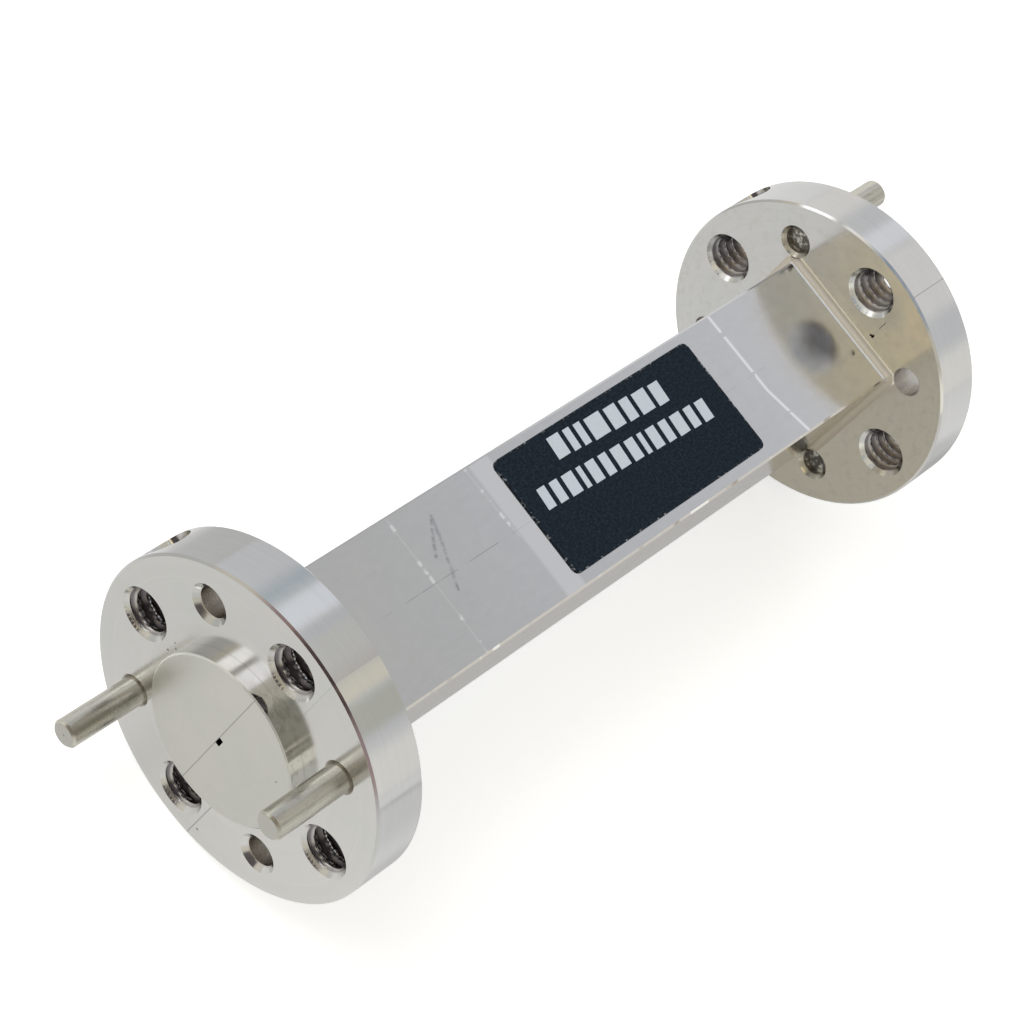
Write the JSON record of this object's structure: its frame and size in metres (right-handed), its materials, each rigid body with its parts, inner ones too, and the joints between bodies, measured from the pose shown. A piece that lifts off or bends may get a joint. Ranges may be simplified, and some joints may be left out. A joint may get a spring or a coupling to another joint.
{
  "type": "straight waveguide section",
  "caption": "Straight waveguide section: a square bar split lengthwise, with a round flange, raised boss, threaded holes and guide pins at each end, and a small dark label.",
  "frame": {"origin": "centre of the guide, midway between the two mating faces", "axes": "+X along the guide from the near flange to the far one, +Y towards the side with the screw heads, +Z towards the side with the label"},
  "size_m": [0.0582, 0.019, 0.019],
  "materials": {
    "block_metal": "fine milled and turned faces, bright, with light tool marks",
    "pin_steel": "ground",
    "screw_steel": "plain stainless",
    "label_film": "dark film with a fine grain"
  },
  "bodies": {
    "root": {"channel_block": "block_metal", "cover_block": "block_metal", "near_guide_pin_upper": "pin_steel", "near_guide_pin_lower": "pin_steel", "far_guide_pin_upper": "pin_steel", "far_guide_pin_lower": "pin_steel", "near_flange_screw_upper": "screw_steel", "near_flange_screw_lower": "screw_steel", "far_flange_screw_upper": "screw_steel", "far_flange_screw_lower": "screw_steel", "body_screw_upper": "screw_steel", "body_screw_lower": "screw_steel", "dowel_1": "pin_steel", "dowel_2": "pin_steel", "label": "label_film"}
  },
  "joints": []
}
